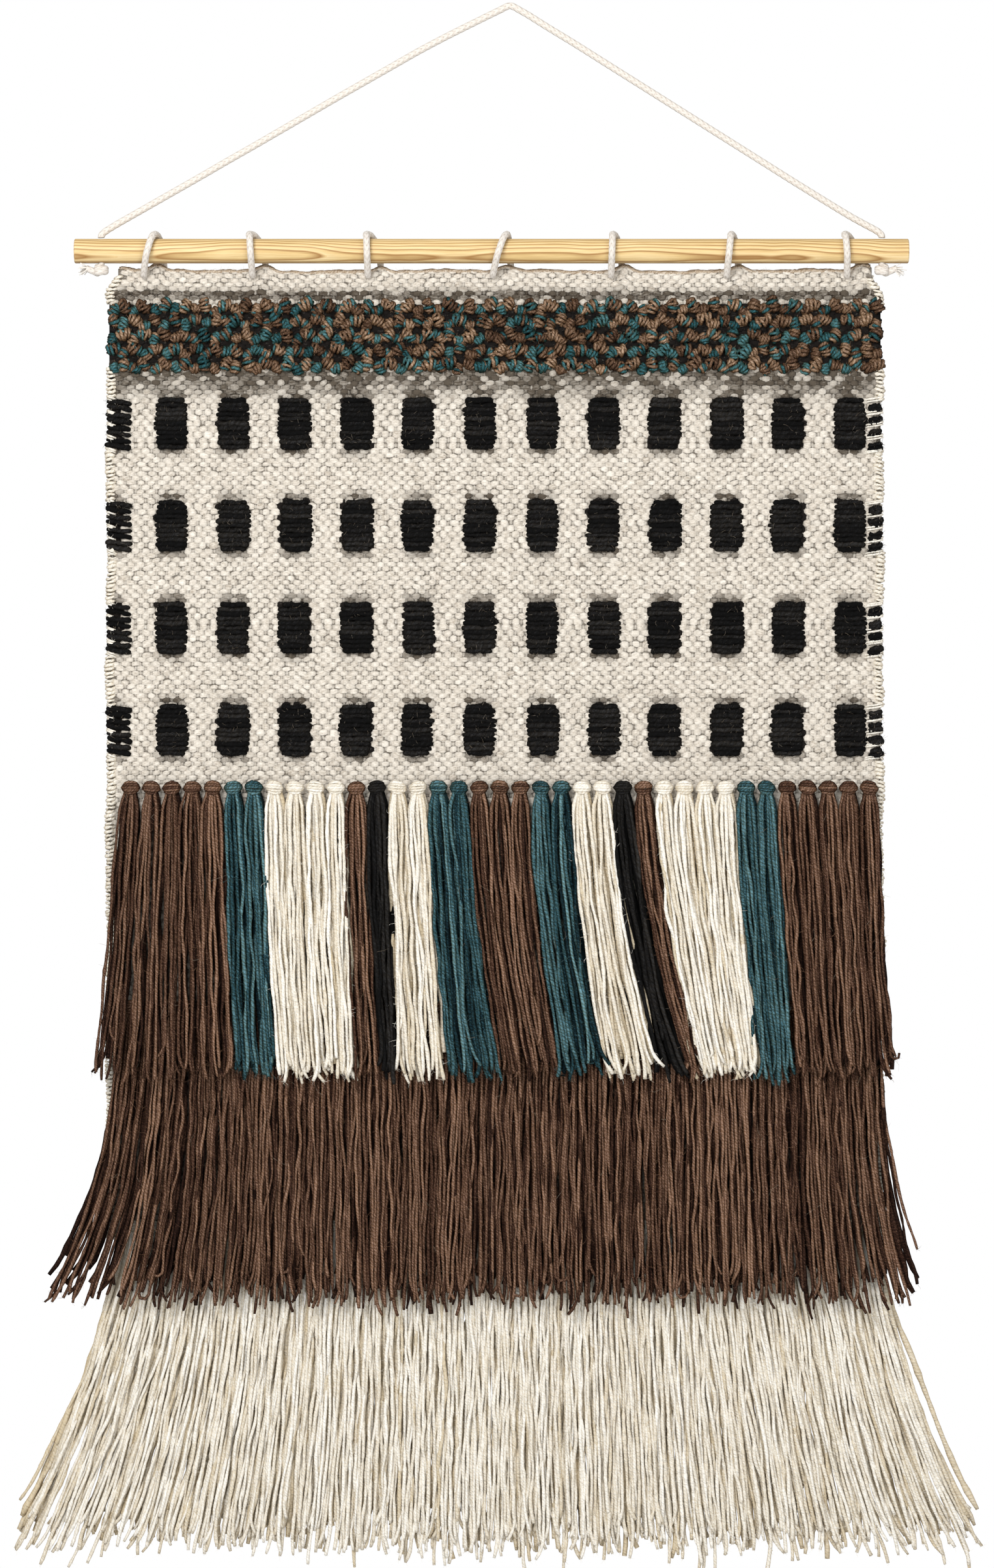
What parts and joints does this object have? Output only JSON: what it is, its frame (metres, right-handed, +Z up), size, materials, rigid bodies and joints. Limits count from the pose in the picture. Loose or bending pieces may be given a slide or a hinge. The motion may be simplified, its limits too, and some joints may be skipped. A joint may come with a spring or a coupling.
{
  "type": "wall hanging",
  "caption": "Woven wool cloth with bobbles, blocks and tiered fringes, laced to a wooden rod that hangs from a cord over a nail.",
  "frame": {"origin": "the nail point: the underside of the hanging cord at its top", "axes": "+Z up, +X to the viewer's right along the rod, front facing -Y, wall on the +Y side"},
  "size_m": [0.7054, 0.0341, 1.1374],
  "materials": {
    "pine": "planed, unvarnished",
    "cotton_cord": "braided cotton",
    "natural_weave": "weft-faced wool weave",
    "binding_yarn": "wrapped fluffy wool",
    "bobble_yarn": "plied brown and teal wool",
    "brown_wool": "two-ply rug wool",
    "teal_wool": "soft wool yarn",
    "cream_wool": "soft wool yarn",
    "black_wool": "soft wool yarn"
  },
  "bodies": {
    "hanging_cord": {"hanging_cord": "cotton_cord"},
    "rod": {"rod": "pine", "left_cord_end": "cotton_cord", "right_cord_end": "cotton_cord"},
    "cloth": {"lacing_cord": "cotton_cord", "ground_weave": "natural_weave", "left_selvedge": "binding_yarn", "right_selvedge": "binding_yarn", "bobble_row_1": "bobble_yarn", "bobble_row_2": "bobble_yarn", "bobble_row_3": "bobble_yarn", "bobble_row_4": "bobble_yarn", "bobble_row_5": "bobble_yarn", "block_row_1": "black_wool", "block_row_2": "black_wool", "block_row_3": "black_wool", "block_row_4": "black_wool"},
    "upper_fringe": {"upper_knots_brown": "brown_wool", "upper_knots_teal": "teal_wool", "upper_knots_cream": "cream_wool", "upper_knots_black": "black_wool"},
    "tassels_01_brown": {"tassels_01_brown": "brown_wool"},
    "tassels_02_teal": {"tassels_02_teal": "teal_wool"},
    "tassels_03_cream": {"tassels_03_cream": "cream_wool"},
    "tassels_04_brown": {"tassels_04_brown": "brown_wool"},
    "tassels_05_black": {"tassels_05_black": "black_wool"},
    "tassels_06_cream": {"tassels_06_cream": "cream_wool"},
    "tassels_07_teal": {"tassels_07_teal": "teal_wool"},
    "tassels_08_brown": {"tassels_08_brown": "brown_wool"},
    "tassels_09_teal": {"tassels_09_teal": "teal_wool"},
    "tassels_10_cream": {"tassels_10_cream": "cream_wool"},
    "tassels_11_black": {"tassels_11_black": "black_wool"},
    "tassels_12_brown": {"tassels_12_brown": "brown_wool"},
    "tassels_13_cream": {"tassels_13_cream": "cream_wool"},
    "tassels_14_teal": {"tassels_14_teal": "teal_wool"},
    "tassels_15_brown": {"tassels_15_brown": "brown_wool"},
    "middle_fringe": {"middle_knots": "brown_wool", "middle_tassels": "brown_wool"},
    "lower_fringe": {"lower_knots": "cream_wool", "lower_tassels": "cream_wool"}
  },
  "joints": [
    {"name": "rod_roll", "type": "hinge", "parent": "hanging_cord", "child": "rod", "pos_m": [0, 0, -0.168], "axis": [-1, 0, 0], "range_deg": [-15, 15]},
    {"name": "cloth_swing", "type": "hinge", "parent": "rod", "child": "cloth", "pos_m": [0, 0, -0.177], "axis": [-1, 0, 0], "range_deg": [-60, 90]},
    {"name": "fringe_lift", "type": "hinge", "parent": "cloth", "child": "upper_fringe", "pos_m": [0, -0.0014, -0.5704], "axis": [-1, 0, 0], "range_deg": [0, 60]},
    {"name": "tassels_01_brown_lift", "type": "hinge", "parent": "upper_fringe", "child": "tassels_01_brown", "pos_m": [0, -0.0014, -0.5704], "axis": [-1, 0, 0], "range_deg": [0, 90]},
    {"name": "tassels_02_teal_lift", "type": "hinge", "parent": "upper_fringe", "child": "tassels_02_teal", "pos_m": [0, -0.0014, -0.5704], "axis": [-1, 0, 0], "range_deg": [0, 90]},
    {"name": "tassels_03_cream_lift", "type": "hinge", "parent": "upper_fringe", "child": "tassels_03_cream", "pos_m": [0, -0.0014, -0.5704], "axis": [-1, 0, 0], "range_deg": [0, 90]},
    {"name": "tassels_04_brown_lift", "type": "hinge", "parent": "upper_fringe", "child": "tassels_04_brown", "pos_m": [0, -0.0014, -0.5704], "axis": [-1, 0, 0], "range_deg": [0, 90]},
    {"name": "tassels_05_black_lift", "type": "hinge", "parent": "upper_fringe", "child": "tassels_05_black", "pos_m": [0, -0.0014, -0.5704], "axis": [-1, 0, 0], "range_deg": [0, 90]},
    {"name": "tassels_06_cream_lift", "type": "hinge", "parent": "upper_fringe", "child": "tassels_06_cream", "pos_m": [0, -0.0014, -0.5704], "axis": [-1, 0, 0], "range_deg": [0, 90]},
    {"name": "tassels_07_teal_lift", "type": "hinge", "parent": "upper_fringe", "child": "tassels_07_teal", "pos_m": [0, -0.0014, -0.5704], "axis": [-1, 0, 0], "range_deg": [0, 90]},
    {"name": "tassels_08_brown_lift", "type": "hinge", "parent": "upper_fringe", "child": "tassels_08_brown", "pos_m": [0, -0.0014, -0.5704], "axis": [-1, 0, 0], "range_deg": [0, 90]},
    {"name": "tassels_09_teal_lift", "type": "hinge", "parent": "upper_fringe", "child": "tassels_09_teal", "pos_m": [0, -0.0014, -0.5704], "axis": [-1, 0, 0], "range_deg": [0, 90]},
    {"name": "tassels_10_cream_lift", "type": "hinge", "parent": "upper_fringe", "child": "tassels_10_cream", "pos_m": [0, -0.0014, -0.5704], "axis": [-1, 0, 0], "range_deg": [0, 90]},
    {"name": "tassels_11_black_lift", "type": "hinge", "parent": "upper_fringe", "child": "tassels_11_black", "pos_m": [0, -0.0014, -0.5704], "axis": [-1, 0, 0], "range_deg": [0, 90]},
    {"name": "tassels_12_brown_lift", "type": "hinge", "parent": "upper_fringe", "child": "tassels_12_brown", "pos_m": [0, -0.0014, -0.5704], "axis": [-1, 0, 0], "range_deg": [0, 90]},
    {"name": "tassels_13_cream_lift", "type": "hinge", "parent": "upper_fringe", "child": "tassels_13_cream", "pos_m": [0, -0.0014, -0.5704], "axis": [-1, 0, 0], "range_deg": [0, 90]},
    {"name": "tassels_14_teal_lift", "type": "hinge", "parent": "upper_fringe", "child": "tassels_14_teal", "pos_m": [0, -0.0014, -0.5704], "axis": [-1, 0, 0], "range_deg": [0, 90]},
    {"name": "tassels_15_brown_lift", "type": "hinge", "parent": "upper_fringe", "child": "tassels_15_brown", "pos_m": [0, -0.0014, -0.5704], "axis": [-1, 0, 0], "range_deg": [0, 90]},
    {"name": "middle_fringe_lift", "type": "hinge", "parent": "cloth", "child": "middle_fringe", "pos_m": [0, -0.0014, -0.7309], "axis": [-1, 0, 0], "range_deg": [0, 60]},
    {"name": "lower_fringe_lift", "type": "hinge", "parent": "cloth", "child": "lower_fringe", "pos_m": [0, -0.0014, -0.8914], "axis": [-1, 0, 0], "range_deg": [0, 60]}
  ],
  "couplings": [
    {"joint": "middle_fringe_lift", "follows": "fringe_lift", "ratio": 1},
    {"joint": "lower_fringe_lift", "follows": "fringe_lift", "ratio": 1}
  ]
}
